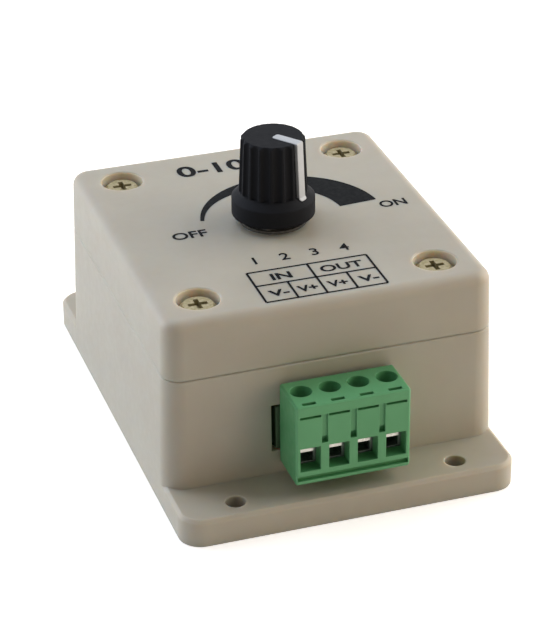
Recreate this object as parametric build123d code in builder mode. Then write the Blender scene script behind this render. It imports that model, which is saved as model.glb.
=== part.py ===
from build123d import *
from math import cos, radians, sin, tan
import os

os.makedirs("parts", exist_ok=True)

# Driving dimensions in millimetres
# +Z is up, +Y points to the back, the terminals face -Y and the knob turns on the Z axis.

# Case
case_width = 60.0
case_depth = 65.0
case_height = 36.4
seam_height = 25.6
draft_angle = 1.6
wall = 2.0
floor_thickness = 2.5
lid_thickness = 2.0
case_corner_radius = 4.0
case_inner_radius = 1.5
lid_edge_radius = 2.0
seam_edge_chamfer = 0.25
tongue_depth = 1.5
tongue_thickness = 1.0
tongue_root = 1.2
tongue_clearance = 0.15

# Mounting flanges
flange_reach = 10.5
flange_thickness = 5.0
flange_corner_radius = 4.0
flange_edge_chamfer = 0.6
mount_hole_radius = 1.8
mount_hole_side_inset = 10.2
mount_hole_end_inset = 4.2

# Lid screws and the bosses that take them
lid_screw_side_inset = 8.8
lid_screw_end_inset = 8.6
lid_screw_head_radius = 3.3
lid_screw_head_height = 2.0
lid_screw_shank_radius = 1.45
lid_screw_length = 14.0
lid_screw_head_chamfer = 0.7
cross_recess_length = 3.4
cross_recess_width = 0.9
cross_recess_depth = 1.2
well_radius = 3.8
well_depth = 3.0
well_wall = 1.1
well_floor = 1.5
well_edge_chamfer = 0.2
boss_radius = 3.6
rib_thickness = 1.2
rib_drop = 0.5
thread_clearance = 0.05
screw_hole_clearance = 0.25
pilot_extra_depth = 1.5

# Circuit board and its screws
board_height = 8.0
board_thickness = 1.6
board_width = 50.0
board_front_gap = 0.8
board_back_gap = 3.5
board_notch_gap = 1.0
board_screw_inset = 3.8
board_screw_head_radius = 2.4
board_screw_head_height = 1.6
board_screw_shank_radius = 1.1
board_screw_length = 6.0
standoff_radius = 2.6

# Terminal header, its pins and the window in the front wall
pole_count = 4
pole_pitch = 5.08
terminal_x = 0.2
header_wall = 0.9
header_floor = 1.1
header_height = 8.2
header_depth = 12.0
header_cavity_depth = 9.2
header_recess = 0.5
pin_size = 1.0
pin_height = 3.6
pin_reach = 7.8
pin_drop_behind_header = 1.1
pin_tail = 1.4
pin_clearance = 0.03
pin_hole_size = 1.2
window_side_gap = 0.85
window_top_gap = 0.5
window_bottom_gap = 0.2

# Pluggable terminal block
plug_bottom = 7.6
plug_height = 15.2
plug_body_depth = 8.8
plug_wall_gap = 0.3
plug_edge_chamfer = 0.3
nose_width = 19.0
nose_side_clearance = 0.15
nose_height_clearance = 0.2
nose_end_clearance = 0.3
nose_wall = 0.7
driver_hole_radius = 1.9
driver_hole_from_front = 5.1
probe_slot_length = 2.4
probe_slot_width = 0.8
probe_slot_depth = 1.5
probe_slot_from_front = 0.85
entry_width = 3.6
entry_height = 4.5
entry_sill = 2.6
brow_height = 2.0
brow_slot_width = 3.7
brow_slot_height = 0.45
brow_slot_depth = 0.7
groove_width = 1.0
groove_depth = 0.35
groove_foot = 15.3
foot_notch_size = 1.1
foot_notch_depth = 1.0
lip_groove_rise = 0.8
lip_groove_height = 0.9
lip_groove_depth = 0.8

# Screw clamps in the terminal block
clamp_travel = 2.3
clamp_screw_radius = 1.4
clamp_head_radius = 1.75
clamp_head_height = 1.8
clamp_slot_width = 0.6
clamp_slot_depth = 0.9
clamp_slot_first_angle = 35.0
clamp_slot_turn = 55.0
cage_width = 3.9
cage_depth = 4.4
cage_side = 0.55
cage_floor = 0.8
cage_top = 1.6
cage_clearance = 0.2
cage_stop_gap = 0.1
ledge_thickness = 0.8
contact_width = 2.4
contact_thickness = 0.8
contact_front_gap = 2.0
tine_thickness = 0.5
tine_clearance = 0.05
tine_bridge = 0.8

# Potentiometer
pot_radius = 8.2
pot_plate_thickness = 1.0
pot_can_depth = 8.0
pot_can_wall = 0.4
bushing_radius = 3.5
bushing_length = 6.0
bushing_end_chamfer = 0.35
bushing_hole_clearance = 0.2
shaft_radius = 3.0
shaft_clearance = 0.05
shaft_length = 15.2
shaft_tail = 5.6
shaft_spline_length = 6.0
shaft_spline_count = 18
shaft_spline_size = 0.35
shaft_end_chamfer = 0.4
shaft_slot_width = 1.0
locating_tab_width = 2.6
locating_tab_thickness = 1.0
locating_tab_height = 1.0
locating_tab_clearance = 0.15
wafer_thickness = 1.2
wafer_rim_clearance = 0.15
wafer_tongue_width = 13.0
wafer_tongue_reach = 11.6
lug_pitch = 5.0
lug_width = 1.8
lug_thickness = 0.4
lug_length = 5.4
lug_overlap = 2.2
carrier_radius = 6.4
carrier_thickness = 1.8
carrier_clearance = 0.02
wiper_thickness = 0.3
wiper_inner_radius = 3.8
wiper_finger_radius = 5.2
wiper_finger_width = 0.9
wiper_gap = 0.2
wiper_rise = 0.6
washer_radius = 6.0
washer_thickness = 0.5
nut_across_flats = 10.0
nut_thickness = 2.0

# Leads from the potentiometer to the board
lead_radius = 0.65
lead_end_setback = 0.9

# Knob
knob_lift = 1.7
knob_height = 14.5
skirt_radius = 7.4
skirt_height = 3.0
skirt_bevel_height = 1.2
grip_base_radius = 6.1
grip_top_radius = 5.65
grip_edge_chamfer = 0.45
flute_count = 18
flute_radius = 0.95
flute_depth = 0.5
flute_stop = 0.2
pocket_radius = 6.3
pocket_depth = 3.0
shaft_socket_depth = 9.0
socket_clearance = 0.02
pointer_angle = -51.0
pointer_width = 1.3
pointer_end_radius = 0.5
pointer_depth = 0.6
pointer_rise = 0.08
pointer_start = 0.5
pointer_stop = 0.9

# Components on the board
capacitor_radius = 4.0
capacitor_height = 12.0
capacitor_rim_chamfer = 0.5
capacitor_x = -16.0
capacitor_from_back = 15.8
film_width = 7.2
film_depth = 2.6
film_height = 6.5
film_edge_chamfer = 0.5
film_x = -6.0
film_from_back = 5.8
transistor_x = 15.5
transistor_from_back = 18.8
transistor_width = 10.0
transistor_thickness = 4.4
transistor_body_height = 9.0
transistor_tab_height = 6.4
transistor_tab_thickness = 1.3
transistor_tab_hole_radius = 1.9
transistor_lift = 3.0
component_pitch = 2.54
chip_length = 9.6
chip_width = 6.4
chip_height = 3.4
chip_lift = 0.5
chip_x = 2.0
chip_from_back = 11.8
chip_leg_width = 0.5
chip_leg_thickness = 0.3
diode_radius = 2.6
diode_length = 9.0
diode_x = 0.0
diode_from_back = 23.8
resistor_radius = 1.2
resistor_length = 6.4
resistor_x = 6.0
resistor_from_back = 3.3
resistor_spacing = 3.0
resistor_count = 2
axial_lift = 0.3
axial_lead_radius = 0.4
lead_sides = 8
axial_lead_reach = 1.8
lead_tail = 0.7

# Heights and places that follow from the driving dimensions
overall_depth = case_depth + 2 * flange_reach
mount_spacing_x = case_width - 2 * mount_hole_side_inset
mount_spacing_y = overall_depth - 2 * mount_hole_end_inset
lid_screw_x = case_width / 2 - lid_screw_side_inset
lid_screw_y = case_depth / 2 - lid_screw_end_inset
lid_underside = case_height - lid_thickness
screw_seat = case_height - well_depth
board_top = board_height + board_thickness
front_wall_y = -case_depth / 2
board_front_y = front_wall_y + wall + board_front_gap
board_back_y = lid_screw_y - boss_radius - board_back_gap
board_depth = board_back_y - board_front_y
board_notch_x = lid_screw_x - boss_radius - board_notch_gap
board_notch_y = -lid_screw_y + boss_radius + board_notch_gap
board_screw_x = board_width / 2 - board_screw_inset
board_screw_points = [
    (side * board_screw_x, y)
    for side in (-1, 1)
    for y in (board_notch_y + board_screw_inset, board_back_y - board_screw_inset)
]
pole_xs = [terminal_x + pole_pitch * (pole - (pole_count - 1) / 2) for pole in range(pole_count)]
header_front_y = front_wall_y + header_recess
header_back_y = header_front_y + header_depth
header_width = nose_width + 2 * (nose_side_clearance + header_wall)
cavity_end_y = header_front_y + header_cavity_depth
pin_level = board_top + pin_height
pin_drop_y = header_back_y + pin_drop_behind_header


def lean(height):
    """How far the drafted walls have come inward at a height."""
    return max(height - flange_thickness, 0) * tan(radians(draft_angle))


def case_outline(height, inset, radius):
    """The rounded outline of the case at a height, brought inward by an inset."""
    shrink = 2 * (inset + lean(height))
    with BuildSketch(Plane.XY.offset(height)) as outline:
        RectangleRounded(case_width - shrink, case_depth - shrink, radius - lean(height))
    return outline.sketch


# Base housing: a drafted shell with two flanges, screw bosses, board posts and the terminal window
rib_reach_x = case_width / 2 - lean(seam_height) - wall / 2
rib_reach_y = case_depth / 2 - lean(seam_height) - wall / 2
rib_height = seam_height - tongue_depth - rib_drop - floor_thickness
window_width = header_width + 2 * window_side_gap
window_bottom = board_top - window_bottom_gap
window_top = board_top + header_height + window_top_gap
with BuildPart() as base_housing:
    with BuildSketch():
        RectangleRounded(case_width, overall_depth, flange_corner_radius)
    extrude(amount=flange_thickness)
    chamfer(base_housing.faces().sort_by(Axis.Z)[-1].edges(), flange_edge_chamfer)
    extrude(case_outline(0, 0, case_corner_radius), amount=flange_thickness)
    extrude(
        case_outline(flange_thickness, 0, case_corner_radius),
        amount=seam_height - flange_thickness,
        taper=draft_angle,
    )
    chamfer(base_housing.faces().sort_by(Axis.Z)[-1].edges(), seam_edge_chamfer)
    extrude(
        case_outline(floor_thickness, wall, case_inner_radius),
        amount=flange_thickness - floor_thickness,
        mode=Mode.SUBTRACT,
    )
    extrude(
        case_outline(flange_thickness, wall, case_inner_radius),
        amount=seam_height - flange_thickness,
        taper=draft_angle,
        mode=Mode.SUBTRACT,
    )
    with BuildSketch(Plane.XY.offset(floor_thickness)):
        with GridLocations(2 * lid_screw_x, 2 * lid_screw_y, 2, 2):
            Circle(boss_radius)
    extrude(amount=seam_height - floor_thickness)
    with BuildSketch(Plane.XY.offset(floor_thickness)):
        with GridLocations(lid_screw_x + rib_reach_x, 2 * lid_screw_y, 2, 2):
            Rectangle(rib_reach_x - lid_screw_x, rib_thickness)
        with GridLocations(2 * lid_screw_x, lid_screw_y + rib_reach_y, 2, 2):
            Rectangle(rib_thickness, rib_reach_y - lid_screw_y)
    extrude(amount=rib_height)
    with BuildSketch(Plane.XY.offset(floor_thickness)):
        with Locations(*board_screw_points):
            Circle(standoff_radius)
    extrude(amount=board_height - floor_thickness)
    with BuildSketch(Plane.XZ.offset(-front_wall_y)):
        with Locations((terminal_x, (window_bottom + window_top) / 2)):
            Rectangle(window_width, window_top - window_bottom)
    extrude(amount=-2 * wall, mode=Mode.SUBTRACT)
    with Locations(Plane.XY.offset(seam_height)):
        with GridLocations(2 * lid_screw_x, 2 * lid_screw_y, 2, 2):
            Hole(
                lid_screw_shank_radius + thread_clearance,
                lid_screw_length - (screw_seat - seam_height) + pilot_extra_depth,
            )
    with Locations(Plane.XY.offset(board_height)):
        with Locations(*board_screw_points):
            Hole(
                board_screw_shank_radius + thread_clearance,
                board_screw_length - board_thickness + thread_clearance,
            )
    with Locations(Plane.XY.offset(flange_thickness)):
        with GridLocations(mount_spacing_x, mount_spacing_y, 2, 2):
            Hole(mount_hole_radius)
base_housing.part.label = "base_housing"
export_step(base_housing.part, "parts/base_housing.step")

# Lid: a drafted shell with a tongue that drops into the base, four screw wells and the bushing hole
locating_tab_y = pot_radius - locating_tab_thickness / 2
tongue_z = seam_height - tongue_depth
with BuildPart() as lid:
    extrude(
        case_outline(seam_height, 0, case_corner_radius),
        amount=case_height - seam_height,
        taper=draft_angle,
    )
    fillet(lid.faces().sort_by(Axis.Z)[-1].edges(), lid_edge_radius)
    chamfer(lid.faces().sort_by(Axis.Z)[0].edges(), seam_edge_chamfer)
    extrude(
        case_outline(seam_height, wall, case_inner_radius),
        amount=lid_underside - seam_height,
        taper=draft_angle,
        mode=Mode.SUBTRACT,
    )
    extrude(case_outline(seam_height, wall / 2, case_inner_radius), amount=tongue_root)
    extrude(case_outline(tongue_z, wall + tongue_clearance, case_inner_radius), amount=tongue_depth)
    extrude(
        case_outline(tongue_z, wall + tongue_clearance + tongue_thickness, case_inner_radius),
        amount=tongue_depth + tongue_root,
        mode=Mode.SUBTRACT,
    )
    with BuildSketch(Plane.XY.offset(seam_height)):
        with GridLocations(2 * lid_screw_x, 2 * lid_screw_y, 2, 2):
            Circle(boss_radius)
    extrude(amount=lid_underside - seam_height)
    with BuildSketch(Plane.XY.offset(screw_seat - well_floor)):
        with GridLocations(2 * lid_screw_x, 2 * lid_screw_y, 2, 2):
            Circle(well_radius + well_wall)
    extrude(amount=lid_underside - screw_seat + well_floor)
    with Locations(Plane.XY.offset(case_height)):
        with GridLocations(2 * lid_screw_x, 2 * lid_screw_y, 2, 2):
            CounterBoreHole(lid_screw_shank_radius + screw_hole_clearance, well_radius, well_depth)
        Hole(bushing_radius + bushing_hole_clearance)
    well_mouths = lid.edges().filter_by(GeomType.CIRCLE).filter_by(lambda edge: edge.radius == well_radius)
    chamfer(well_mouths.group_by(Axis.Z)[-1], well_edge_chamfer)
    with BuildSketch(Plane.XY.offset(lid_underside)):
        with Locations((0, locating_tab_y)):
            Rectangle(
                locating_tab_width + 2 * locating_tab_clearance,
                locating_tab_thickness + 2 * locating_tab_clearance,
            )
    extrude(amount=locating_tab_height + locating_tab_clearance, mode=Mode.SUBTRACT)
lid.part.label = "lid"
export_step(lid.part, "parts/lid.step")

# Lid screws: four pan heads with a cross recess, sunk in the wells of the lid
with BuildPart() as lid_screws:
    with BuildSketch(Plane.XY.offset(screw_seat)):
        with GridLocations(2 * lid_screw_x, 2 * lid_screw_y, 2, 2):
            Circle(lid_screw_head_radius)
    extrude(amount=lid_screw_head_height)
    chamfer(lid_screws.edges().group_by(Axis.Z)[-1], lid_screw_head_chamfer)
    with BuildSketch(Plane.XY.offset(screw_seat + lid_screw_head_height)):
        with GridLocations(2 * lid_screw_x, 2 * lid_screw_y, 2, 2):
            Rectangle(cross_recess_length, cross_recess_width)
            Rectangle(cross_recess_width, cross_recess_length)
    extrude(amount=-cross_recess_depth, mode=Mode.SUBTRACT)
    with BuildSketch(Plane.XY.offset(screw_seat)):
        with GridLocations(2 * lid_screw_x, 2 * lid_screw_y, 2, 2):
            Circle(lid_screw_shank_radius)
    extrude(amount=-lid_screw_length)
lid_screws.part.label = "lid_screws"
export_step(lid_screws.part, "parts/lid_screws.step")

# Places of the components on the board, and of the leads that pass through it
capacitor_y = board_back_y - capacitor_from_back
film_y = board_back_y - film_from_back
transistor_y = board_back_y - transistor_from_back
chip_y = board_back_y - chip_from_back
diode_y = board_back_y - diode_from_back
resistor_ys = [board_back_y - resistor_from_back - resistor_spacing * row for row in range(resistor_count)]
lead_foot = board_height - lead_tail
chip_leg_span = chip_width + 2 * chip_leg_thickness
chip_legs = [
    (chip_x + component_pitch * column, chip_y + side * chip_leg_span / 2)
    for column in (-1.5, -0.5, 0.5, 1.5)
    for side in (-1, 1)
]
transistor_legs = [(transistor_x, transistor_y + component_pitch * row) for row in (-1, 0, 1)]
capacitor_legs = [(capacitor_x + side * component_pitch / 2, capacitor_y) for side in (-1, 1)]
film_legs = [(film_x + side * component_pitch, film_y) for side in (-1, 1)]
diode_legs = [(diode_x + side * (diode_length / 2 + axial_lead_reach), diode_y) for side in (-1, 1)]
resistor_legs = [
    (resistor_x + side * (resistor_length / 2 + axial_lead_reach), y)
    for y in resistor_ys
    for side in (-1, 1)
]
component_legs = [
    *chip_legs, *transistor_legs, *capacitor_legs, *film_legs, *diode_legs, *resistor_legs
]

# Circuit board: notched round the front bosses and drilled for its screws, pins and leads
notch_width = board_width / 2 - board_notch_x
notch_depth = board_notch_y - board_front_y
lead_hole_radius = axial_lead_radius + 2 * thread_clearance
with BuildPart() as circuit_board:
    with BuildSketch(Plane.XY.offset(board_height)):
        with Locations((0, board_front_y + board_depth / 2)):
            Rectangle(board_width, board_depth)
        with Locations(*[
            (side * (board_width - notch_width) / 2, board_front_y + notch_depth / 2)
            for side in (-1, 1)
        ]):
            Rectangle(notch_width, notch_depth, mode=Mode.SUBTRACT)
        with Locations(*[(x, pin_drop_y) for x in pole_xs]):
            Rectangle(pin_hole_size, pin_hole_size, mode=Mode.SUBTRACT)
        with Locations(*component_legs):
            RegularPolygon(lead_hole_radius, lead_sides, mode=Mode.SUBTRACT)
    extrude(amount=board_thickness)
    with Locations(Plane.XY.offset(board_top)):
        with Locations(*board_screw_points):
            Hole(board_screw_shank_radius + screw_hole_clearance)
circuit_board.part.label = "circuit_board"
export_step(circuit_board.part, "parts/circuit_board.step")

# Board screws: four small pan heads
with BuildPart() as board_screws:
    with BuildSketch(Plane.XY.offset(board_top)):
        with Locations(*board_screw_points):
            Circle(board_screw_head_radius)
    extrude(amount=board_screw_head_height)
    with BuildSketch(Plane.XY.offset(board_top)):
        with Locations(*board_screw_points):
            Circle(board_screw_shank_radius)
    extrude(amount=-board_screw_length)
board_screws.part.label = "board_screws"
export_step(board_screws.part, "parts/board_screws.step")

# Terminal header: an open-fronted socket on the board's front edge
cavity_width = nose_width + 2 * nose_side_clearance
cavity_height = header_height - 2 * header_floor
header_level = board_top + header_height / 2
with BuildPart() as terminal_header:
    with BuildSketch(Plane.XZ.offset(-header_front_y)):
        with Locations((terminal_x, header_level)):
            Rectangle(header_width, header_height)
    extrude(amount=-header_depth)
    with BuildSketch(Plane.XZ.offset(-header_front_y)):
        with Locations((terminal_x, header_level)):
            Rectangle(cavity_width, cavity_height)
    extrude(amount=-header_cavity_depth, mode=Mode.SUBTRACT)
    with BuildSketch(Plane.XZ.offset(-header_back_y)):
        with Locations(*[(x, pin_level) for x in pole_xs]):
            Rectangle(pin_size + 2 * pin_clearance, pin_size + 2 * pin_clearance)
    extrude(amount=header_depth - header_cavity_depth, mode=Mode.SUBTRACT)
terminal_header.part.label = "terminal_header"
export_step(terminal_header.part, "parts/terminal_header.step")

# Header pins: four square pins bent down through the board
pin_tip_y = cavity_end_y - pin_reach
pin_back_y = pin_drop_y + pin_size / 2
pin_low = board_height - pin_tail
with BuildPart() as header_pins:
    for x in pole_xs:
        with BuildSketch(Plane.YZ.offset(x - pin_size / 2)):
            with Locations(((pin_tip_y + pin_back_y) / 2, pin_level)):
                Rectangle(pin_back_y - pin_tip_y, pin_size)
            with Locations((pin_drop_y, (pin_low + pin_level) / 2)):
                Rectangle(pin_size, pin_level - pin_low)
        extrude(amount=pin_size)
header_pins.part.label = "header_pins"
export_step(header_pins.part, "parts/header_pins.step")

# Film capacitor, electrolytic capacitor and flyback diode
with BuildPart() as timing_capacitor:
    with BuildSketch(Plane.XY.offset(board_top)):
        with Locations((film_x, film_y)):
            Rectangle(film_width, film_depth)
    extrude(amount=film_height)
    chamfer(timing_capacitor.edges().filter_by(Axis.Z), film_edge_chamfer)
    with BuildSketch(Plane.XY.offset(board_top)):
        with Locations(*film_legs):
            RegularPolygon(axial_lead_radius, lead_sides)
    extrude(amount=lead_foot - board_top)
timing_capacitor.part.label = "timing_capacitor"
export_step(timing_capacitor.part, "parts/timing_capacitor.step")

with BuildPart() as filter_capacitor:
    with BuildSketch(Plane.XY.offset(board_top)):
        with Locations((capacitor_x, capacitor_y)):
            Circle(capacitor_radius)
    extrude(amount=capacitor_height)
    chamfer(filter_capacitor.edges().group_by(Axis.Z)[-1], capacitor_rim_chamfer)
    with BuildSketch(Plane.XY.offset(board_top)):
        with Locations(*capacitor_legs):
            RegularPolygon(axial_lead_radius, lead_sides)
    extrude(amount=lead_foot - board_top)
filter_capacitor.part.label = "filter_capacitor"
export_step(filter_capacitor.part, "parts/filter_capacitor.step")


def axial_body(x, y, radius, length):
    """A lying tube-shaped body with a bent lead at each end, added to the part that is being built."""
    level = board_top + axial_lift + radius
    half_span = length / 2 + axial_lead_reach
    with BuildSketch(Plane.YZ.offset(x - length / 2)) as body:
        with Locations((y, level)):
            Circle(radius)
    extrude(body.sketch, amount=length)
    with BuildSketch(Plane.YZ.offset(x - half_span)) as lead:
        with Locations((y, level)):
            RegularPolygon(axial_lead_radius, lead_sides)
    extrude(lead.sketch, amount=2 * half_span)
    with BuildSketch(Plane.XY.offset(lead_foot)) as legs:
        with Locations((x - half_span, y), (x + half_span, y)):
            RegularPolygon(axial_lead_radius, lead_sides)
    extrude(legs.sketch, amount=level - lead_foot)


with BuildPart() as flyback_diode:
    axial_body(diode_x, diode_y, diode_radius, diode_length)
flyback_diode.part.label = "flyback_diode"
export_step(flyback_diode.part, "parts/flyback_diode.step")

with BuildPart() as resistors:
    for y in resistor_ys:
        axial_body(resistor_x, y, resistor_radius, resistor_length)
resistors.part.label = "resistors"
export_step(resistors.part, "parts/resistors.step")

# Power transistor: a moulded body with a metal tab, standing on three leads
transistor_body_z = board_top + transistor_lift
transistor_back_x = transistor_x + transistor_thickness / 2
with BuildPart() as power_transistor:
    with BuildSketch(Plane.XY.offset(transistor_body_z)):
        with Locations((transistor_x, transistor_y)):
            Rectangle(transistor_thickness, transistor_width)
    extrude(amount=transistor_body_height)
    with BuildSketch(Plane.YZ.offset(transistor_back_x)):
        with Locations((transistor_y, transistor_body_z + transistor_body_height + transistor_tab_height / 2)):
            Rectangle(transistor_width, transistor_tab_height)
            Circle(transistor_tab_hole_radius, mode=Mode.SUBTRACT)
    extrude(amount=-transistor_tab_thickness)
    with BuildSketch(Plane.XY.offset(transistor_body_z)):
        with Locations(*transistor_legs):
            Rectangle(axial_lead_radius, axial_lead_radius)
    extrude(amount=lead_foot - transistor_body_z)
power_transistor.part.label = "power_transistor"
export_step(power_transistor.part, "parts/power_transistor.step")

# Timer chip: an eight-leg moulded package
chip_leg_top = board_top + chip_lift + chip_height / 2
with BuildPart() as timer_chip:
    with BuildSketch(Plane.XY.offset(board_top + chip_lift)):
        with Locations((chip_x, chip_y)):
            Rectangle(chip_length, chip_width)
    extrude(amount=chip_height)
    with BuildSketch(Plane.XY.offset(lead_foot)):
        with Locations(*chip_legs):
            Rectangle(chip_leg_width, chip_leg_thickness)
    extrude(amount=chip_leg_top - lead_foot)
    with BuildSketch(Plane.XY.offset(chip_leg_top)):
        with GridLocations(component_pitch, 0, 4, 1):
            with Locations((chip_x, chip_y)):
                Rectangle(chip_leg_width, chip_leg_span + chip_leg_thickness)
    extrude(amount=-chip_leg_thickness)
timer_chip.part.label = "timer_chip"
export_step(timer_chip.part, "parts/timer_chip.step")

# Potentiometer mount: a round plate with the threaded bushing and a locating tab
pot_plate_z = lid_underside - pot_plate_thickness
with BuildPart() as pot_bushing:
    with BuildSketch(Plane.XY.offset(pot_plate_z)):
        Circle(pot_radius)
    extrude(amount=pot_plate_thickness)
    with BuildSketch(Plane.XY.offset(lid_underside)):
        Circle(bushing_radius)
    extrude(amount=bushing_length)
    chamfer(pot_bushing.edges().group_by(Axis.Z)[-1], bushing_end_chamfer)
    with BuildSketch(Plane.XY.offset(lid_underside)):
        with Locations((0, locating_tab_y)):
            Rectangle(locating_tab_width, locating_tab_thickness)
    extrude(amount=locating_tab_height)
    with Locations((0, 0, lid_underside + bushing_length)):
        Hole(shaft_radius + shaft_clearance)
pot_bushing.part.label = "pot_bushing"
export_step(pot_bushing.part, "parts/pot_bushing.step")

# Resistive wafer: a disc inside the can whose tongue carries the three lugs
wafer_z = pot_plate_z - wafer_thickness
wafer_radius = pot_radius - pot_can_wall - wafer_rim_clearance
with BuildPart() as pot_wafer:
    with BuildSketch(Plane.XY.offset(wafer_z)):
        Circle(wafer_radius)
        with Locations((0, -wafer_tongue_reach / 2)):
            Rectangle(wafer_tongue_width, wafer_tongue_reach)
        Circle(shaft_radius + screw_hole_clearance, mode=Mode.SUBTRACT)
    extrude(amount=wafer_thickness)
pot_wafer.part.label = "pot_wafer"
export_step(pot_wafer.part, "parts/pot_wafer.step")

# Potentiometer can: a pressed cup with a slot for the wafer's tongue
slot_width = wafer_tongue_width + 2 * wafer_rim_clearance
slot_height = wafer_thickness + wafer_rim_clearance
with BuildPart() as pot_can:
    with BuildSketch(Plane.XY.offset(pot_plate_z)):
        Circle(pot_radius)
    extrude(amount=-pot_can_depth)
    with BuildSketch(Plane.XY.offset(pot_plate_z)):
        Circle(pot_radius - pot_can_wall)
    extrude(amount=pot_can_wall - pot_can_depth, mode=Mode.SUBTRACT)
    with BuildSketch(Plane.XY.offset(pot_plate_z)):
        with Locations((0, -pot_radius)):
            Rectangle(slot_width, pot_radius)
    extrude(amount=-slot_height, mode=Mode.SUBTRACT)
pot_can.part.label = "pot_can"
export_step(pot_can.part, "parts/pot_can.step")

# Potentiometer lugs: three strips riveted under the tongue
lug_xs = [lug_pitch * place for place in (-1, 0, 1)]
lug_start_y = -wafer_tongue_reach + lug_overlap
lug_end_y = lug_start_y - lug_length
with BuildPart() as pot_lugs:
    with BuildSketch(Plane.XY.offset(wafer_z)):
        with Locations(*[(x, (lug_start_y + lug_end_y) / 2) for x in lug_xs]):
            Rectangle(lug_width, lug_length)
    extrude(amount=-lug_thickness)
pot_lugs.part.label = "pot_lugs"
export_step(pot_lugs.part, "parts/pot_lugs.step")

# Leads: three stiff insulated wires that stand between the board and the lugs
with BuildPart() as pot_leads:
    with BuildSketch(Plane.XY.offset(board_top)):
        with Locations(*[(x, lug_end_y + lead_end_setback) for x in lug_xs]):
            Circle(lead_radius)
    extrude(amount=wafer_z - lug_thickness - board_top)
pot_leads.part.label = "pot_leads"
export_step(pot_leads.part, "parts/pot_leads.step")

# Washer and nut that clamp the potentiometer to the lid
with BuildPart() as pot_washer:
    with BuildSketch(Plane.XY.offset(case_height)):
        Circle(washer_radius)
        Circle(bushing_radius + bushing_hole_clearance, mode=Mode.SUBTRACT)
    extrude(amount=washer_thickness)
pot_washer.part.label = "pot_washer"
export_step(pot_washer.part, "parts/pot_washer.step")

with BuildPart() as pot_nut:
    with BuildSketch(Plane.XY.offset(case_height + washer_thickness)):
        RegularPolygon(nut_across_flats / 2, 6, major_radius=False)
        Circle(bushing_radius + thread_clearance, mode=Mode.SUBTRACT)
    extrude(amount=nut_thickness)
pot_nut.part.label = "pot_nut"
export_step(pot_nut.part, "parts/pot_nut.step")

# Shaft: a round rod with a splined, slotted end
shaft_top = lid_underside + shaft_length
with BuildPart() as pot_shaft:
    with BuildSketch(Plane.XY.offset(pot_plate_z - shaft_tail)):
        Circle(shaft_radius)
    extrude(amount=shaft_top - pot_plate_z + shaft_tail)
    chamfer(pot_shaft.edges().group_by(Axis.Z)[-1], shaft_end_chamfer)
    with BuildSketch(Plane.XY.offset(shaft_top - shaft_spline_length)):
        with PolarLocations(shaft_radius, shaft_spline_count):
            RegularPolygon(shaft_spline_size, 3, rotation=60)
    extrude(amount=shaft_spline_length, mode=Mode.SUBTRACT)
    with BuildSketch(Plane.XY.offset(shaft_top - shaft_spline_length)):
        Rectangle(shaft_slot_width, 2 * shaft_radius)
    extrude(amount=shaft_spline_length, mode=Mode.SUBTRACT)
pot_shaft.part.label = "pot_shaft"
export_step(pot_shaft.part, "parts/pot_shaft.step")

# Wiper carrier on the shaft's lower end, and the spring wiper that it turns under the wafer
wiper_top = wafer_z - wiper_gap
wiper_z = wiper_top - wiper_rise - wiper_thickness
with BuildPart() as wiper_carrier:
    with BuildSketch(Plane.XY.offset(wiper_z)):
        Circle(carrier_radius)
        Circle(shaft_radius + carrier_clearance, mode=Mode.SUBTRACT)
    extrude(amount=-carrier_thickness)
wiper_carrier.part.label = "wiper_carrier"
export_step(wiper_carrier.part, "parts/wiper_carrier.step")

with BuildPart() as wiper_spring:
    with BuildSketch(Plane.XY.offset(wiper_z)):
        Circle(carrier_radius - wiper_thickness)
        Circle(wiper_inner_radius, mode=Mode.SUBTRACT)
    extrude(amount=wiper_thickness)
    with BuildSketch(Plane.XY.offset(wiper_z + wiper_thickness)):
        with PolarLocations(wiper_finger_radius, 2):
            Rectangle(wiper_finger_width, wiper_finger_width)
    extrude(amount=wiper_rise)
wiper_spring.part.label = "wiper_spring"
export_step(wiper_spring.part, "parts/wiper_spring.step")

# Knob: a skirt, a fluted grip, a pocket over the nut and a socket for the shaft
knob_z = case_height + knob_lift
skirt_top = knob_z + skirt_height
grip_z = skirt_top + skirt_bevel_height
knob_top = knob_z + knob_height
grip_lean = (grip_base_radius - grip_top_radius) / (knob_top - grip_z)


def grip_radius(height):
    """The radius of the grip's envelope at a height."""
    return grip_base_radius - grip_lean * (height - grip_z)


# Pointer: a white strip let into the top and one ridge of the grip
pointer_low = grip_z + pointer_stop
pointer_plane = Plane(
    (0, 0, 0),
    x_dir=(cos(radians(pointer_angle)), sin(radians(pointer_angle)), 0),
    z_dir=(sin(radians(pointer_angle)), -cos(radians(pointer_angle)), 0),
)
with BuildPart() as knob_pointer:
    with BuildSketch(pointer_plane):
        with BuildLine():
            Polyline(
                (pointer_start, knob_top + pointer_rise),
                (grip_radius(knob_top) + pointer_rise, knob_top + pointer_rise),
                (grip_radius(pointer_low) + pointer_rise, pointer_low),
                (grip_radius(pointer_low) - pointer_depth, pointer_low),
                (grip_radius(knob_top) - pointer_depth, knob_top - pointer_depth),
                (pointer_start, knob_top - pointer_depth),
                close=True,
            )
        make_face()
    extrude(amount=pointer_width / 2, both=True)
    fillet(knob_pointer.edges().filter_by(Axis.Z), pointer_end_radius)
    foot_edges = knob_pointer.edges().group_by(Axis.Z)[0]
    fillet(foot_edges.filter_by(Axis((0, 0, 0), pointer_plane.x_dir)), pointer_end_radius)
knob_pointer.part.label = "knob_pointer"
export_step(knob_pointer.part, "parts/knob_pointer.step")

# One flute of the grip, as the rod that cuts it, leaning with the grip's side
flute_start = grip_z + flute_stop
flute_plane = Plane(
    (grip_radius(flute_start) + flute_radius - flute_depth, 0, flute_start),
    z_dir=(-grip_lean, 0, 1),
)
with BuildPart() as flute:
    with BuildSketch(flute_plane):
        Circle(flute_radius)
    extrude(amount=knob_height)

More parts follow.
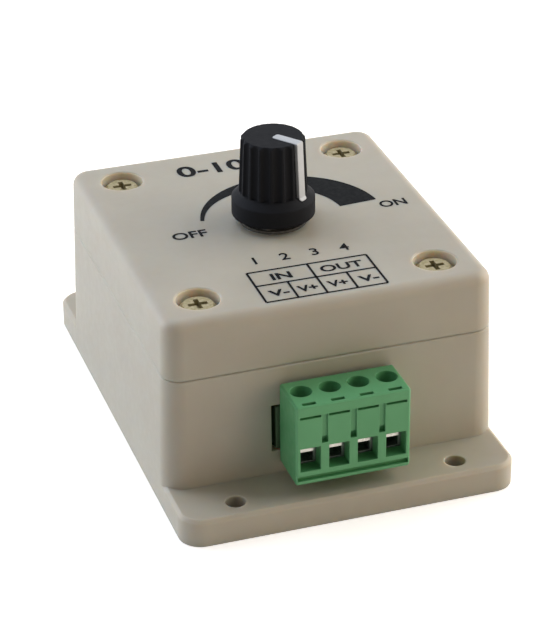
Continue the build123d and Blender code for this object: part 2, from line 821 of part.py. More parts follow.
with BuildPart() as knob:
    with BuildSketch(Plane.XZ):
        with BuildLine():
            Polyline(
                (0, knob_z),
                (skirt_radius, knob_z),
                (skirt_radius, skirt_top),
                (grip_base_radius, grip_z),
                (grip_top_radius, knob_top),
                (0, knob_top),
                close=True,
            )
        make_face()
    revolve(axis=Axis.Z)
    chamfer(knob.edges().group_by(Axis.Z)[-1], grip_edge_chamfer)
    with PolarLocations(0, flute_count, start_angle=pointer_angle + 180 / flute_count):
        add(flute.part, mode=Mode.SUBTRACT)
    with BuildSketch(Plane.XY.offset(knob_z)):
        Circle(pocket_radius)
    extrude(amount=pocket_depth, mode=Mode.SUBTRACT)
    with BuildSketch(Plane.XY.offset(knob_z)):
        Circle(shaft_radius + socket_clearance)
    extrude(amount=pocket_depth + shaft_socket_depth, mode=Mode.SUBTRACT)
    add(knob_pointer.part, mode=Mode.SUBTRACT)
knob.part.label = "knob"
export_step(knob.part, "parts/knob.step")

# Places inside the terminal block
plug_width = pole_count * pole_pitch
plug_back_y = front_wall_y - plug_wall_gap
plug_front_y = plug_back_y - plug_body_depth
plug_top = plug_bottom + plug_height
nose_end_y = cavity_end_y - nose_end_clearance
nose_height = cavity_height - 2 * nose_height_clearance
driver_y = plug_front_y + driver_hole_from_front
bar_bottom = pin_level - contact_thickness / 2
bar_top = pin_level + contact_thickness / 2
cage_window_top = bar_top + cage_stop_gap
cage_window_bottom = bar_bottom - cage_stop_gap - clamp_travel
cage_bottom = cage_window_bottom - cage_floor
cage_upper = cage_window_top + cage_top
ledge_bottom = cage_upper + clamp_travel + cage_clearance
ledge_top = ledge_bottom + ledge_thickness
chamber_width = cage_width + 2 * cage_clearance
chamber_depth = cage_depth + 2 * cage_clearance
chamber_front_y = driver_y - chamber_depth / 2
bridge_back_y = pin_tip_y - cage_clearance
bridge_front_y = bridge_back_y - tine_bridge
nose_cavity_end_y = bridge_front_y - cage_clearance
entry_bottom = plug_bottom + entry_sill
brow_slot_z = plug_top - brow_height - brow_slot_height / 2
groove_top = brow_slot_z + brow_slot_height / 2
boundary_xs = [x + pole_pitch / 2 for x in pole_xs[:-1]]

# Terminal block housing: a green moulding with a nose, four chambers, wire entries and driver holes
with BuildPart() as plug_housing:
    with BuildSketch(Plane.XZ.offset(-plug_front_y)):
        with Locations((terminal_x, plug_bottom + plug_height / 2)):
            Rectangle(plug_width, plug_height)
    extrude(amount=-plug_body_depth)
    chamfer(plug_housing.edges(), plug_edge_chamfer)
    with BuildSketch(Plane.XZ.offset(-plug_back_y)):
        with Locations((terminal_x, header_level)):
            Rectangle(nose_width, nose_height)
    extrude(amount=plug_back_y - nose_end_y)
    with BuildSketch(Plane.XZ.offset(-nose_end_y)):
        with Locations(*[(x, header_level) for x in pole_xs]):
            Rectangle(contact_width + 2 * cage_clearance, nose_height - 2 * nose_wall)
    extrude(amount=nose_end_y - nose_cavity_end_y, mode=Mode.SUBTRACT)
    with BuildSketch(Plane.XZ.offset(-nose_cavity_end_y)):
        with Locations(*[(x, pin_level) for x in pole_xs]):
            Rectangle(contact_width + cage_clearance, contact_thickness + cage_clearance)
    extrude(amount=nose_cavity_end_y - driver_y, mode=Mode.SUBTRACT)
    with BuildSketch(Plane.XY.offset(cage_bottom - cage_clearance)):
        with Locations(*[(x, driver_y) for x in pole_xs]):
            Rectangle(chamber_width, chamber_depth)
    extrude(amount=ledge_bottom - cage_bottom + cage_clearance, mode=Mode.SUBTRACT)
    with BuildSketch(Plane.XY.offset(ledge_bottom)):
        with Locations(*[(x, driver_y) for x in pole_xs]):
            Circle(clamp_screw_radius + cage_clearance)
    extrude(amount=ledge_thickness, mode=Mode.SUBTRACT)
    with BuildSketch(Plane.XY.offset(ledge_top)):
        with Locations(*[(x, driver_y) for x in pole_xs]):
            Circle(driver_hole_radius)
    extrude(amount=plug_top - ledge_top, mode=Mode.SUBTRACT)
    with BuildSketch(Plane.XY.offset(plug_top)):
        with Locations(*[(x, plug_front_y + probe_slot_from_front) for x in pole_xs]):
            Rectangle(probe_slot_length, probe_slot_width)
    extrude(amount=-probe_slot_depth, mode=Mode.SUBTRACT)
    with BuildSketch(Plane.XZ.offset(-plug_front_y)):
        with Locations(*[(x, entry_bottom + entry_height / 2) for x in pole_xs]):
            Rectangle(entry_width, entry_height)
    extrude(amount=plug_front_y - chamber_front_y, mode=Mode.SUBTRACT)
    with BuildSketch(Plane.XZ.offset(-plug_front_y)):
        with Locations(*[(x, brow_slot_z) for x in pole_xs]):
            Rectangle(brow_slot_width, brow_slot_height)
    extrude(amount=-brow_slot_depth, mode=Mode.SUBTRACT)
    with BuildSketch(Plane.XZ.offset(-plug_front_y)):
        with Locations(*[(x, (groove_foot + groove_top) / 2) for x in boundary_xs]):
            Rectangle(groove_width, groove_top - groove_foot)
    extrude(amount=-groove_depth, mode=Mode.SUBTRACT)
    with BuildSketch(Plane.XZ.offset(-plug_front_y)):
        with Locations(*[(x, groove_foot + foot_notch_size / 2) for x in boundary_xs]):
            Rectangle(foot_notch_size, foot_notch_size)
    extrude(amount=-foot_notch_depth, mode=Mode.SUBTRACT)
    with BuildSketch(Plane.XZ.offset(-plug_front_y)):
        with Locations((terminal_x, plug_bottom + lip_groove_rise + lip_groove_height / 2)):
            Rectangle(plug_width - 2 * plug_edge_chamfer, lip_groove_height)
    extrude(amount=-lip_groove_depth, mode=Mode.SUBTRACT)
plug_housing.part.label = "plug_housing"
export_step(plug_housing.part, "parts/plug_housing.step")

# Plug contacts: a clamping bar that ends in two tines over each header pin
tine_length = nose_end_y - bridge_back_y - tine_thickness
tine_offset = pin_size / 2 + tine_clearance + tine_thickness / 2
with BuildPart() as plug_contacts:
    for x in pole_xs:
        with BuildSketch(Plane.YZ.offset(x - contact_width / 2)):
            with Locations(((plug_front_y + contact_front_gap + bridge_back_y) / 2, pin_level)):
                Rectangle(bridge_back_y - plug_front_y - contact_front_gap, contact_thickness)
            with Locations(((bridge_front_y + bridge_back_y) / 2, pin_level)):
                Rectangle(tine_bridge, 2 * tine_offset + tine_thickness)
            with Locations(*[
                (bridge_back_y + tine_length / 2, pin_level + side * tine_offset)
                for side in (-1, 1)
            ]):
                Rectangle(tine_length, tine_thickness)
        extrude(amount=contact_width)
plug_contacts.part.label = "plug_contacts"
export_step(plug_contacts.part, "parts/plug_contacts.step")

# Clamp screws and the cages that they lift, one pair to each pole
screw_tip = bar_top + cage_stop_gap
head_z = ledge_top + thread_clearance
for pole, x in enumerate(pole_xs, start=1):
    with BuildPart() as clamp_screw:
        with BuildSketch(Plane.XY.offset(screw_tip)):
            with Locations((x, driver_y)):
                Circle(clamp_screw_radius)
        extrude(amount=head_z - screw_tip)
        with BuildSketch(Plane.XY.offset(head_z)):
            with Locations((x, driver_y)):
                Circle(clamp_head_radius)
        extrude(amount=clamp_head_height)
        with BuildSketch(Plane.XY.offset(head_z + clamp_head_height)):
            with Locations(Location((x, driver_y), clamp_slot_first_angle + clamp_slot_turn * pole)):
                Rectangle(2 * clamp_head_radius, clamp_slot_width)
        extrude(amount=-clamp_slot_depth, mode=Mode.SUBTRACT)
    clamp_screw.part.label = f"clamp_screw_{pole}"
    export_step(clamp_screw.part, f"parts/clamp_screw_{pole}.step")

    with BuildPart() as clamp_cage:
        with BuildSketch(Plane.XZ.offset(-driver_y)):
            with Locations((x, (cage_bottom + cage_upper) / 2)):
                Rectangle(cage_width, cage_upper - cage_bottom)
            with Locations((x, (cage_window_bottom + cage_window_top) / 2)):
                Rectangle(
                    cage_width - 2 * cage_side,
                    cage_window_top - cage_window_bottom,
                    mode=Mode.SUBTRACT,
                )
        extrude(amount=cage_depth / 2, both=True)
        with Locations((x, driver_y, cage_upper)):
            Hole(clamp_screw_radius + thread_clearance, cage_top)
    clamp_cage.part.label = f"clamp_cage_{pole}"
    export_step(clamp_cage.part, f"parts/clamp_cage_{pole}.step")
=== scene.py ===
from math import cos, radians, sin

import bpy
from mathutils import Matrix, Vector


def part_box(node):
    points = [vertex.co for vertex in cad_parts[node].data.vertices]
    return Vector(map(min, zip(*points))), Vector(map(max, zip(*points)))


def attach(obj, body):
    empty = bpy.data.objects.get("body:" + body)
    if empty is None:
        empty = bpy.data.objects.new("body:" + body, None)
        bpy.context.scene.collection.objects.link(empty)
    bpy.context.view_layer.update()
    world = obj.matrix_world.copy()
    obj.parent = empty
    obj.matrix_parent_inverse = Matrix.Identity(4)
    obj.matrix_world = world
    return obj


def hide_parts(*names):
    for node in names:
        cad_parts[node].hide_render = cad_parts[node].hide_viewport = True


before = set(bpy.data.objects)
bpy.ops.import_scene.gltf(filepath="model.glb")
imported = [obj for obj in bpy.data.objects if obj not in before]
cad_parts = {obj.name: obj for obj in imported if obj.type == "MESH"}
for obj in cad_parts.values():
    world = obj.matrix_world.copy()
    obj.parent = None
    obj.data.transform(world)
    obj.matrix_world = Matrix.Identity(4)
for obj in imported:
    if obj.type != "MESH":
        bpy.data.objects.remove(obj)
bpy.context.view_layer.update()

mm = 0.001


# Base housing
# The lower shell of the case with its two screw flanges, moulded in one shot from pale beige ABS.
# The mould is finely spark eroded, which leaves a satin skin that only shows as a soft sheen. Light
# goes a millimetre or two into the resin, so its holes and shaded corners glow warm.
def linear(code):
    """An sRGB hex colour as linear red, green, blue and alpha."""
    values = [int(code[i:i + 2], 16) / 255 for i in (0, 2, 4)]
    return tuple(v / 12.92 if v <= 0.04045 else ((v + 0.055) / 1.055) ** 2.4 for v in values) + (1.0,)


def add(tree, kind, inputs=None, **settings):
    """A new node with its settings; an input takes a value, or a link where it is given a socket."""
    node = tree.nodes.new(kind)
    for name, value in settings.items():
        setattr(node, name, value)
    for name, value in (inputs or {}).items():
        if isinstance(value, bpy.types.NodeSocket):
            tree.links.new(value, node.inputs[name])
        else:
            node.inputs[name].default_value = value
    return node


def material(name, **constants):
    """A material with one Principled shader, whose constant inputs are set on their own sockets."""
    made = bpy.data.materials.new(name)
    made.use_nodes = True
    shader = made.node_tree.nodes["Principled BSDF"]
    for socket, value in constants.items():
        shader.inputs[socket.replace("_", " ")].default_value = value
    return made, made.node_tree, shader


def mottle(tree, size, low, high, noise_low=0.35, noise_high=0.65):
    """Noise whose blotches measure size in metres, with its usual reach stretched from low to high."""
    place = add(tree, "ShaderNodeTexCoord").outputs["Object"]
    noise = add(tree, "ShaderNodeTexNoise", {"Vector": place, "Scale": 1 / size, "Detail": 2.0})
    return add(tree, "ShaderNodeMapRange", {
        "Value": noise.outputs["Fac"], "From Min": noise_low, "From Max": noise_high,
        "To Min": low, "To Max": high,
    }).outputs["Result"]


mix_first, mix_second, mix_colour = 6, 7, 2  # where a Mix node keeps its two colours and their mixture


def tinted(tree, share, first, second):
    """Two colours mixed; the first may also be another node's output."""
    mix = add(tree, "ShaderNodeMix", {
        "Factor": share, mix_first: first, mix_second: second,
    }, data_type="RGBA")
    return mix.outputs[mix_colour]


def grained(tree, shader, size, depth, edge):
    """A bump of fine grain over softly rounded edges; size, depth and edge radius in metres."""
    place = add(tree, "ShaderNodeTexCoord").outputs["Object"]
    noise = add(tree, "ShaderNodeTexNoise", {"Vector": place, "Scale": 1 / size, "Detail": 3.0})
    rounded = add(tree, "ShaderNodeBevel", {"Radius": edge}, samples=6)
    bump = add(tree, "ShaderNodeBump", {
        "Height": noise.outputs["Fac"], "Distance": depth, "Strength": 1.0,
        "Normal": rounded.outputs["Normal"],
    })
    tree.links.new(bump.outputs["Normal"], shader.inputs["Normal"])


def moulded(name, light, dark, rough, edge=0.2 * mm, **constants):
    """An injection moulded plastic: two close tones in slow blotches under a fine eroded grain."""
    tone_blotch, gloss_blotch, gloss_spread = 9 * mm, 1.5 * mm, 0.04
    grain_size, grain_depth = 0.25 * mm, 0.004 * mm
    made, tree, shader = material(name, **{"IOR": 1.54, **constants})
    tone = tinted(tree, mottle(tree, tone_blotch, 0, 1), linear(light), linear(dark))
    tree.links.new(tone, shader.inputs["Base Color"])
    gloss = mottle(tree, gloss_blotch, rough - gloss_spread, rough + gloss_spread)
    tree.links.new(gloss, shader.inputs["Roughness"])
    grained(tree, shader, grain_size, grain_depth, edge)
    return made


def dress(finish, slot_name, *nodes):
    """Gives CAD nodes a material; slot_name is not used."""
    for node in nodes:
        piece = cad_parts[node]
        piece.data.materials.clear()
        piece.data.materials.append(finish)


def beige_abs(name):
    """The resin that both shells are moulded from."""
    return moulded(
        name, "b8b2a2", "b5ae9e", rough=0.46, edge=0.4 * mm, Subsurface_Weight=0.8,
        Subsurface_Scale=3 * mm, Subsurface_Radius=(1.0, 0.65, 0.4), Specular_IOR_Level=0.4,
    )


case_abs = beige_abs("abs_spark_eroded_beige")
dress(case_abs, "case_plastic", "base_housing")

# Circuit board and its screws
# A green solder-masked laminate on four posts, held by small zinc plated screws.
board_mask = moulded("epoxy_solder_mask_green", "1d4a2a", "183f24", rough=0.28, IOR=1.5)
dress(board_mask, "board_laminate", "circuit_board")

# Components on the board
# A film and an electrolytic capacitor, a diode, two resistors, a power transistor and a timer chip.
component_epoxy = moulded("epoxy_moulded_black", "1b1b1c", "232324", rough=0.5)
dress(
    component_epoxy, "component_plastic",
    "timing_capacitor", "filter_capacitor", "flyback_diode", "power_transistor", "timer_chip",
)
resistor_lacquer = moulded("lacquer_dipped_tan", "9a7a4c", "8c6d42", rough=0.3)
dress(resistor_lacquer, "resistor_lacquer", "resistors")

# Terminal header and its pins
# The socket on the board's edge, moulded from green polyamide, with four tinned brass pins bent down
# through the board. Its green is painted darker and greyer than the block's: painted shade from the block.
# painted shade: a darker, greyer green for the shadow that the block casts on the socket
header_painted_shade_polyamide = moulded("polyamide_moulded_green_painted_shade", "3f5a3c", "385236", rough=0.5, IOR=1.53)
dress(header_painted_shade_polyamide, "terminal_plastic", "terminal_header")


def metal(name, light, dark, rough, depth=0.003 * mm, metallic=1.0):
    """A plated or drawn metal: two close tones and a roughness that wanders over the surface."""
    blotch, gloss_spread, grain_size = 0.6 * mm, 0.06, 0.2 * mm
    made, tree, shader = material(name, Metallic=metallic)
    tone = tinted(tree, mottle(tree, blotch, 0, 1), linear(light), linear(dark))
    tree.links.new(tone, shader.inputs["Base Color"])
    gloss = mottle(tree, blotch, rough - gloss_spread, rough + gloss_spread)
    tree.links.new(gloss, shader.inputs["Roughness"])
    grained(tree, shader, grain_size, depth, edge=0.08 * mm)
    return made


tinned_brass = metal("brass_tin_plated", "c9c6bd", "b5b1a6", rough=0.3)
dress(tinned_brass, "tinned_brass", "header_pins")

# Potentiometer
# A die-cast bushing and plate, a pressed can, a brown laminate wafer with tinned lugs, the wiper that
# turns on it, and three red leads that run down into the board.
pot_metal = metal("zinc_die_cast_plated", "b9b7b0", "a4a29b", rough=0.35)
dress(pot_metal, "pot_metal", "pot_bushing", "pot_can")
wafer_laminate = moulded("phenolic_laminate_brown", "6b4a2c", "5d3f25", rough=0.4)
dress(wafer_laminate, "wafer_laminate", "pot_wafer")
dress(tinned_brass, "tinned_brass", "pot_lugs", "wiper_spring")
dress(component_epoxy, "component_plastic", "wiper_carrier")
lead_pvc = moulded("pvc_extruded_red", "9c1f1c", "8d1a18", rough=0.38)
dress(lead_pvc, "lead_insulation", "pot_leads")

# Lid
# The upper shell, from the same ABS as the base, with a rounded top edge and four sunk screw wells. The
# walls of the wells are painted paler, as painted light for the glow that passes through their thin walls.
lid_abs = beige_abs("abs_spark_eroded_beige_lid_painted_glow")
tree = lid_abs.node_tree
# painted light: inside a radius around each well's axis the lid's colour turns paler
well_centre, well_radius, painted_well_glow = (21.2 * mm, 23.9 * mm, 0), 3.85 * mm, linear("d7cfbd")
place = add(tree, "ShaderNodeTexCoord").outputs["Object"]
quarter = add(tree, "ShaderNodeVectorMath", {0: place}, operation="ABSOLUTE")  # one well stands for all four
off_centre = add(tree, "ShaderNodeVectorMath", {0: quarter.outputs[0], 1: well_centre}, operation="SUBTRACT")
level_part = add(tree, "ShaderNodeVectorMath", {0: off_centre.outputs[0], 1: (1, 1, 0)}, operation="MULTIPLY")
reach = add(tree, "ShaderNodeVectorMath", {0: level_part.outputs[0]}, operation="LENGTH")
painted_glow_mask = add(tree, "ShaderNodeMath", {0: reach.outputs["Value"], 1: well_radius}, operation="LESS_THAN")
lid_tone = tree.nodes["Principled BSDF"].inputs["Base Color"]
tree.links.new(tinted(tree, painted_glow_mask.outputs[0], lid_tone.links[0].from_socket, painted_well_glow), lid_tone)
dress(lid_abs, "case_plastic", "lid")
lid_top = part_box("lid")[1].z

# Print on the lid
# One pass of black pad-printing ink: the dial sweep, its end marks, the scale and the terminal plan.
# The ink lies a few hundredths of a millimetre proud and dries to a dull black with a faint mottle.
ink_thickness = 0.03 * mm
ink_blotch, gloss_blotch = 0.5 * mm, 0.8 * mm
pad_ink, tree, shader = material("pad_printing_ink_black", IOR=1.5, Specular_IOR_Level=0.08)
tone = tinted(tree, mottle(tree, ink_blotch, 0, 1), linear("0b0d0f"), linear("121416"))
tree.links.new(tone, shader.inputs["Base Color"])
tree.links.new(mottle(tree, gloss_blotch, 0.6, 0.72), shader.inputs["Roughness"])


def piece_from(name, verts, faces, finish, body):
    """A mesh piece from points and faces that rides on a body."""
    mesh = bpy.data.meshes.new(name)
    mesh.from_pydata(verts, [], faces)
    mesh.validate()
    piece = bpy.data.objects.new(name, mesh)
    bpy.context.scene.collection.objects.link(piece)
    mesh.materials.append(finish)
    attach(piece, body)
    return piece


def word(name, text, middle, width, bottom, top, bold=0.012):
    """Printed characters between two heights on the lid, in millimetres; without a width they keep shape."""
    letters = bpy.data.curves.new(name, "FONT")
    letters.body = text
    letters.offset = bold
    letters.extrude = 0.5  # any depth does, since it is brought to the ink's thickness below
    letters.resolution_u = 6
    source = bpy.data.objects.new(name + "_curve", letters)
    bpy.context.scene.collection.objects.link(source)
    bpy.context.view_layer.update()
    mesh = bpy.data.meshes.new_from_object(source.evaluated_get(bpy.context.evaluated_depsgraph_get()))
    bpy.data.objects.remove(source)
    points = [v.co.copy() for v in mesh.vertices]
    low = Vector(min(p[i] for p in points) for i in range(3))
    high = Vector(max(p[i] for p in points) for i in range(3))
    tall = (top - bottom) / (high.y - low.y)
    wide = width / (high.x - low.x) if width else tall
    for vertex, p in zip(mesh.vertices, points):
        vertex.co = (
            (middle + wide * (p.x - (low.x + high.x) / 2)) * mm,
            (bottom + tall * (p.y - low.y)) * mm,
            lid_top + ink_thickness * (p.z - low.z) / (high.z - low.z),
        )
    piece = bpy.data.objects.new(name, mesh)
    bpy.context.scene.collection.objects.link(piece)
    mesh.materials.clear()
    mesh.materials.append(pad_ink)
    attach(piece, "housing")


word("print_off", "OFF", middle=-15.75, width=6.3, bottom=-2.35, top=0.25, bold=0.02)
word("print_on", "ON", middle=22.25, width=5.0, bottom=-2.0, top=0.5, bold=0.02)
word("print_scale", "0-100%", middle=0, width=21.5, bottom=21.5, top=25.9, bold=0.02)
word("print_in", "IN", middle=-5.5, width=3.6, bottom=-21.9, top=-19.6, bold=0.025)
word("print_out", "OUT", middle=5.35, width=7.6, bottom=-21.9, top=-19.6, bold=0.02)
for name, text, middle in (
    ("print_in_minus", "V-", -7.7), ("print_in_plus", "V+", -2.6),
    ("print_out_plus", "V+", 2.75), ("print_out_minus", "V-", 8.3),
):
    word(name, text, middle, width=3.5, bottom=-27.4, top=-25.25, bold=0.03)
for number, middle in enumerate((-8.1, -2.7, 2.7, 8.1), start=1):
    word(f"print_terminal_{number}", str(number), middle, width=None, bottom=-15.4, top=-12.9)

# the dial sweep widens clockwise between two arcs whose centres lie beside the knob's axis
sweep_steps = 48
sweep_start, sweep_end = radians(164), radians(4.5)
inner_radius, inner_shift, outer_radius, outer_shift = 12.55, 0.35, 16.4, 3.6
verts = []
for step in range(sweep_steps + 1):
    angle = sweep_start + (sweep_end - sweep_start) * step / sweep_steps
    reach = outer_shift * cos(angle) + (outer_radius ** 2 - (outer_shift * sin(angle)) ** 2) ** 0.5
    for radius in (inner_radius + inner_shift * cos(angle), reach):
        for z in (lid_top, lid_top + ink_thickness):
            verts.append((radius * cos(angle) * mm, radius * sin(angle) * mm, z))
faces = []
for step in range(sweep_steps):
    a, b = 4 * step, 4 * step + 4
    faces += [(a + 1, a + 3, b + 3, b + 1), (a, b, b + 2, a + 2)]
    faces += [(a, a + 1, b + 1, b), (a + 2, b + 2, b + 3, a + 3)]
last = len(verts) - 4
faces += [(0, 2, 3, 1), (last, last + 1, last + 3, last + 2)]
piece_from("print_sweep", verts, faces, pad_ink, "housing")

# the terminal plan: three level rules, three upright ones and two that part the lower row
half_line = 0.2
table_left, table_middle, table_right = -10.8, 0, 10.75
table_top, table_row, table_bottom = -18.1, -23.1, -29.0
left_part, right_part = -5.15, 5.4
rules = [
    (table_left, table_right, y - half_line, y + half_line) for y in (table_top, table_row, table_bottom)
] + [
    (x - half_line, x + half_line, table_bottom, table_top) for x in (table_left, table_middle, table_right)
] + [
    (x - half_line, x + half_line, table_bottom, table_row) for x in (left_part, right_part)
]
verts, faces = [], []
for left, right, bottom, top in rules:
    n = len(verts)
    outline = ((left, bottom), (right, bottom), (right, top), (left, top))
    for z in (lid_top, lid_top + ink_thickness):
        verts += [(x * mm, y * mm, z) for x, y in outline]
    faces += [(n, n + 3, n + 2, n + 1), (n + 4, n + 5, n + 6, n + 7)]
    faces += [(n + i, n + (i + 1) % 4, n + 4 + (i + 1) % 4, n + 4 + i) for i in range(4)]
piece_from("print_table", verts, faces, pad_ink, "housing")

# Lid screws
# Four cross-recessed pan heads of steel with a yellow passivated zinc plate, dulled in the wells. The
# chromate film over the zinc scatters light, so they look more like a dull olive than like bare metal.
yellow_zinc = metal("steel_zinc_passivated", "b0a687", "968c69", rough=0.48, metallic=0.6)
dress(yellow_zinc, "screw_steel", "lid_screws", "board_screws")

# Washer, nut and shaft under the knob
# A stamped steel washer and nut, plated with nickel, clamp the control to the lid; their dark colour is
# painted shade under the knob's skirt. Its turned aluminium shaft comes up through them into the knob.
# painted shade: the nickel's colour is darkened for the shadow under the knob's skirt
nut_painted_shade_nickel = metal("steel_nickel_plated", "5d5b56", "4c4a46", rough=0.5, depth=0.001 * mm)
dress(nut_painted_shade_nickel, "nut_steel", "pot_washer", "pot_nut")
shaft_aluminium = metal("aluminium_turned", "d0d0d0", "bcbcbc", rough=0.3)
dress(shaft_aluminium, "shaft_aluminium", "pot_shaft")

# Knob
# A fluted knob of black ABS, pressed onto the splined shaft. Its satin skin takes nearly all the gloss off
# the black, so that only the top and the skirt's bevel catch the light.
knob_abs = moulded(
    "abs_satin_black", "1f2023", "222326", rough=0.55, edge=0.4 * mm, Specular_IOR_Level=0.04,
)
dress(knob_abs, "knob_plastic", "knob")

# Pointer strip
# The white strip is moulded into the knob. It runs over the top, down one ridge of the grip and part of
# the way down the skirt's bevel, where it ends rounded. It is a little wider than its plain solid.
pointer_abs = moulded("abs_moulded_white", "c6c9cc", "bcbfc2", rough=0.4)
strip_width, strip_round, strip_turn = 1.75, 0.5, radians(-53)
strip_out = Vector((cos(strip_turn), sin(strip_turn), 0))
strip_across = Vector((-strip_out.y, strip_out.x, 0))
knob_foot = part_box("knob")[0].z
# each corner's radius and height over the knob's foot, and the way from there to the strip's hidden side
strip_path = [
    (0.35, 14.58, 0.0, -0.5), (5.55, 14.58, -0.1, -0.5), (5.75, 14.38, -0.6, -0.2),
    (6.2, 4.28, -0.6, -0.2), (6.64, 3.87, -0.3, -0.3),
]
runs = [((b[0] - a[0]) ** 2 + (b[1] - a[1]) ** 2) ** 0.5 for a, b in zip(strip_path, strip_path[1:])]
corners = [sum(runs[:n]) for n in range(len(strip_path))]
ends = [strip_round * (1 - sin(radians(turn))) for turn in range(90, -1, -15)]
stations = sorted(corners[1:-1] + ends + [corners[-1] - end for end in ends])
verts = []
for station in stations:
    n = max(i for i in range(len(runs)) if station >= corners[i])
    share = (station - corners[n]) / runs[n]
    out, high, sunk_out, sunk_high = (a + (b - a) * share for a, b in zip(strip_path[n], strip_path[n + 1]))
    into = max(0.0, strip_round - station, station - (corners[-1] - strip_round))
    half = strip_width / 2 - strip_round + max(strip_round ** 2 - into ** 2, 0) ** 0.5
    for sunk in (0, 1):
        for side in (-half, half):
            point = (strip_out * (out + sunk_out * sunk) + strip_across * side) * mm
            verts.append((point.x, point.y, knob_foot + (high + sunk_high * sunk) * mm))
last = len(verts) - 4
faces = [(0, 1, 3, 2), (last, last + 2, last + 3, last + 1)]
for n in range(0, last, 4):
    faces += [(n, n + 4, n + 5, n + 1), (n + 2, n + 3, n + 7, n + 6)]
    faces += [(n, n + 2, n + 6, n + 4), (n + 1, n + 5, n + 7, n + 3)]
strip = piece_from("pointer_strip", verts, faces, pointer_abs, "knob")
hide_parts("knob_pointer")

# Terminal block
# A green polyamide moulding with a rising-cage clamp behind each wire entry: screw, cage and bar. The cages
# are pressed and nickel plated, the screws zinc plated; both are painted a darker grey green as painted
# shade.
terminal_polyamide = moulded(
    "polyamide_moulded_green", "5ca06c", "549864", rough=0.42, IOR=1.53, Specular_IOR_Level=0.4,
)
dress(terminal_polyamide, "terminal_plastic", "plug_housing")
dress(tinned_brass, "tinned_brass", "plug_contacts")
# painted shade: both metals get a darker, grey green colour for the shade inside the green wire entries
cage_nickel = metal("steel_pressed_nickel", "8a9289", "787f77", rough=0.45)
clamp_zinc = metal("steel_zinc_plated", "a3a49b", "8f9088", rough=0.4)
for pole in range(1, 5):
    dress(clamp_zinc, "screw_steel", f"clamp_screw_{pole}")
    dress(cage_nickel, "cage_steel", f"clamp_cage_{pole}")

# Floor
# A white sweep that the object stands on, plain and matt, so that only its soft shadow shows.
floor_half, floor_drop = 3.0, 0.05 * mm
outline = ((-1, -1), (1, -1), (1, 1), (-1, 1))
mesh = bpy.data.meshes.new("floor")
mesh.from_pydata([(x * floor_half, y * floor_half, -floor_drop) for x, y in outline], [], [(0, 1, 2, 3)])
floor = bpy.data.objects.new("floor", mesh)
bpy.context.scene.collection.objects.link(floor)
paper, tree, shader = material("paper_matt_white", Roughness=0.9)
shader.inputs["Base Color"].default_value = linear("f4efe7")
shader.inputs["Emission Color"].default_value = linear("ffffff")


def shown_rays(tree):
    """1 for the rays that show the background itself: camera, glossy and transmission rays."""
    rays = add(tree, "ShaderNodeLightPath")
    seen = add(tree, "ShaderNodeMath", {
        0: rays.outputs["Is Camera Ray"], 1: rays.outputs["Is Glossy Ray"],
    }, operation="MAXIMUM")
    return add(tree, "ShaderNodeMath", {
        0: seen.outputs[0], 1: rays.outputs["Is Transmission Ray"],
    }, operation="MAXIMUM").outputs[0]


# near the object the paper keeps its shadow, and further off it turns as white as the background
shadow_reach, white_reach, near_white, far_white = 120 * mm, 500 * mm, 0.55, 1.0
place = add(tree, "ShaderNodeTexCoord").outputs["Object"]
away = add(tree, "ShaderNodeVectorMath", {0: place}, operation="LENGTH")
whiteness = add(tree, "ShaderNodeMapRange", {
    "Value": away.outputs["Value"], "From Min": shadow_reach, "From Max": white_reach,
    "To Min": near_white, "To Max": far_white,
})
glow = add(tree, "ShaderNodeMath", {
    0: shown_rays(tree), 1: whiteness.outputs["Result"],
}, operation="MULTIPLY")
tree.links.new(glow.outputs[0], shader.inputs["Emission Strength"])
mesh.materials.append(paper)

# Studio light
# Soft boxes stand to the left, high behind and to the right, in a dim white room. The lid and the left
# side are bright, while the terminal face is lit by the large box at the right and a low warm one.
room_level, shown_level = 0.08, 1.0
world = bpy.data.worlds.new("studio")
bpy.context.scene.world = world
world.use_nodes = True
tree = world.node_tree
background = tree.nodes["Background"]
level = add(tree, "ShaderNodeMix", {
    0: shown_rays(tree), 2: room_level, 3: shown_level,
}, data_type="FLOAT")
tree.links.new(level.outputs[0], background.inputs["Strength"])
background.inputs["Color"].default_value = linear("ffffff")


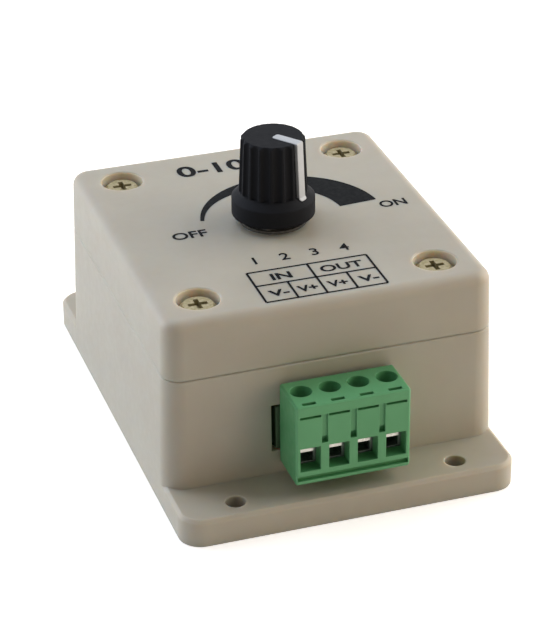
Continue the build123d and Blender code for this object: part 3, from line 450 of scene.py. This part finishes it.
def soft_box(name, place, size, power, colour):
    """A square area lamp at a place in metres that points at the middle of the object."""
    aim = Vector((0, 0, 20 * mm))
    lamp = bpy.data.lights.new(name, "AREA")
    lamp.size = size
    lamp.energy = power
    lamp.color = linear(colour)[:3]
    holder = bpy.data.objects.new(name, lamp)
    holder.location = place
    holder.rotation_mode = "QUATERNION"
    holder.rotation_quaternion = (Vector(place) - aim).to_track_quat("Z", "Y")
    bpy.context.scene.collection.objects.link(holder)


soft_box("box_back_left", (-0.25, 0.35, 0.75), size=0.5, power=2.9, colour="deeaff")
soft_box("box_left", (-0.7, 0.0, 0.3), size=0.4, power=0.8, colour="eef4ff")
soft_box("box_left_low", (-0.5, 0.4, 0.22), size=0.4, power=2.1, colour="eef4ff")
soft_box("box_right", (0.6, 0.0, 0.36), size=0.8, power=5.4, colour="fffaf4")
soft_box("box_front_right", (0.35, -0.45, 0.08), size=0.3, power=0.7, colour="ffe0bc")

# Camera
# It stands a little to the left of the terminal face and looks down on the lid, as in the photograph.
azimuth, elevation, roll = radians(-18.151), radians(28.877), radians(-0.479)
distance, aside, above = 454.96 * mm, 0.565 * mm, 0.898 * mm
target = Vector((0, 0, 15 * mm))
focal_pixels, frame_pixels, sensor = 2513.8, 640, 36.0
back = Vector((sin(azimuth) * cos(elevation), -cos(azimuth) * cos(elevation), sin(elevation)))
right = Vector((cos(azimuth), sin(azimuth), 0))
up = back.cross(right)
camera = bpy.data.objects.new("camera", bpy.data.cameras.new("camera"))
camera.data.sensor_width = sensor
camera.data.lens = focal_pixels * sensor / frame_pixels
camera.data.clip_start, camera.data.clip_end = 0.01, 20
camera.location = target + back * distance + right * aside + up * above
tilted_right = right * cos(roll) + up * sin(roll)
tilted_up = up * cos(roll) - right * sin(roll)
camera.rotation_mode = "QUATERNION"
camera.rotation_quaternion = Matrix((tilted_right, tilted_up, back)).transposed().to_quaternion()
bpy.context.scene.collection.objects.link(camera)
bpy.context.scene.camera = camera
bpy.context.scene.view_settings.view_transform = "Standard"
